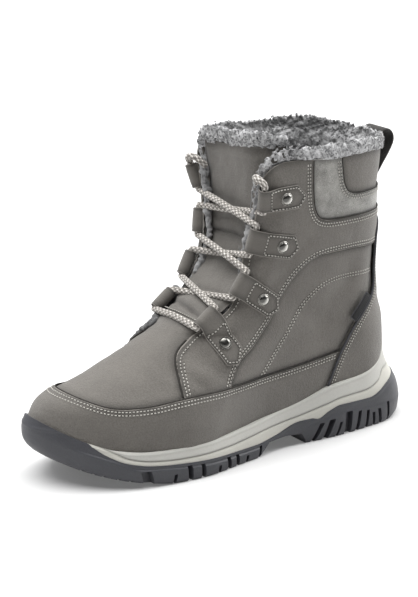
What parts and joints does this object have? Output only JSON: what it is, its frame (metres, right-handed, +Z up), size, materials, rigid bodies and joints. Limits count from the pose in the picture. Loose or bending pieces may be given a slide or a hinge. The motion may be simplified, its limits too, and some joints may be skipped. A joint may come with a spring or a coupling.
{
  "type": "ankle boot",
  "caption": "Left lace-up winter ankle boot, hollow and open at the collar, with a fleece lining, strap loops for the lace and a two-part treaded sole.",
  "frame": {"origin": "on the floor under the middle of the boot's box, so the sole's ground plane is z = 0", "axes": "+Z up, the toe points to -Y and the heel to +Y, +X is the outer side of the left foot"},
  "size_m": [0.1008, 0.2858, 0.2104],
  "materials": {
    "outsole": "matt black rubber with a fine texture",
    "midsole": "matt pale foam",
    "fleece": "grey curly fleece",
    "upper": "taupe nubuck, matt",
    "tongue": "taupe nubuck, matt",
    "overlay": "taupe nubuck, matt",
    "suede": "pale grey suede, napped",
    "strap": "taupe nubuck, matt",
    "rivet": "polished nickel",
    "lace": "braided cord in cream and beige with grey flecks",
    "stitching": "pale grey thread",
    "label": "black woven tape, blank",
    "pull_loop": "dark smooth leather"
  },
  "bodies": {
    "root": {"outsole": "outsole", "midsole": "midsole", "insole": "fleece", "upper": "upper", "tongue": "tongue", "heel_counter": "overlay", "mudguard": "overlay", "lace": "lace", "strap_loop_outer_1": "strap", "rivet_outer_1": "rivet", "strap_loop_outer_2": "strap", "rivet_outer_2": "rivet", "strap_loop_outer_3": "strap", "rivet_outer_3": "rivet", "strap_loop_outer_4": "strap", "rivet_outer_4": "rivet", "strap_loop_inner_1": "strap", "rivet_inner_1": "rivet", "strap_loop_inner_2": "strap", "rivet_inner_2": "rivet", "strap_loop_inner_3": "strap", "rivet_inner_3": "rivet", "strap_loop_inner_4": "strap", "rivet_inner_4": "rivet", "side_label": "label", "pull_loop": "pull_loop"}
  },
  "joints": []
}
